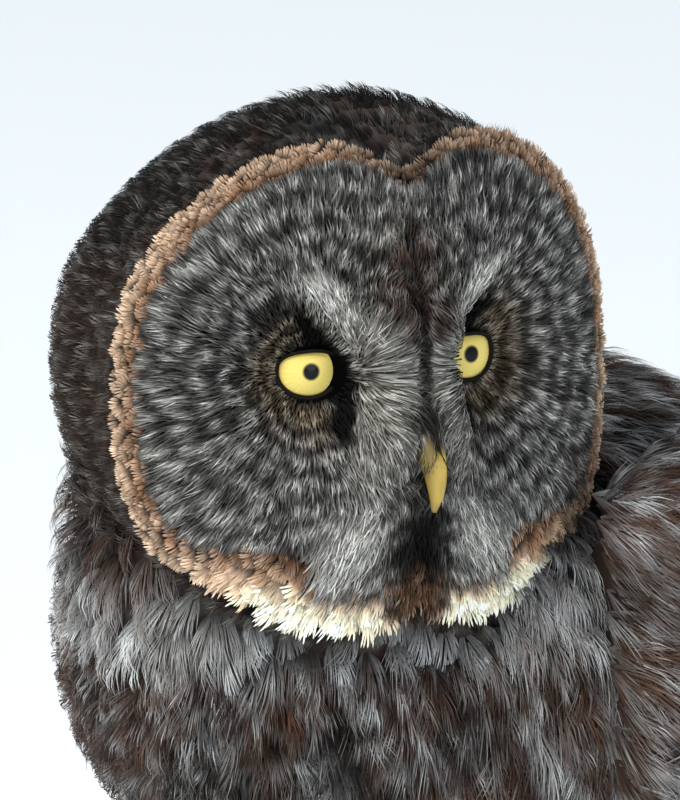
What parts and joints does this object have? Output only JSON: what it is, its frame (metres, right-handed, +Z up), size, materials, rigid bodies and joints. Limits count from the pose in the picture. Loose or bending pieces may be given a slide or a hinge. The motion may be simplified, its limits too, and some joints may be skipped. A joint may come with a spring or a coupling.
{
  "type": "great grey owl",
  "caption": "Life-size still model of a great grey owl standing on a floor, leaning forward, its large round face turned to its left.",
  "frame": {"origin": "on the floor under the middle of the owl's bounding box", "axes": "+Z up, -Y towards the breast, +Y towards the tail, +X to the owl's left"},
  "size_m": [0.2396, 0.5656, 0.3689],
  "materials": {
    "plumage": "soft grey-brown body feathers, matt",
    "flight_feathers": "barred brown flight feathers, low sheen",
    "eye": "clear gloss over a yellow iris and a black pupil",
    "bill": "smooth yellow horn",
    "claw": "dark polished horn"
  },
  "bodies": {
    "root": {"head": "plumage", "eye_left": "eye", "eye_right": "eye", "bill_upper": "bill", "bill_lower": "bill", "neck": "plumage", "torso": "plumage", "wing_left": "flight_feathers", "wing_right": "flight_feathers", "tail": "flight_feathers", "leg_left": "plumage", "leg_right": "plumage", "foot_left": "plumage", "foot_right": "plumage", "claw_left_inner": "claw", "claw_left_middle": "claw", "claw_left_outer": "claw", "claw_left_hind": "claw", "claw_right_inner": "claw", "claw_right_middle": "claw", "claw_right_outer": "claw", "claw_right_hind": "claw"}
  },
  "joints": []
}
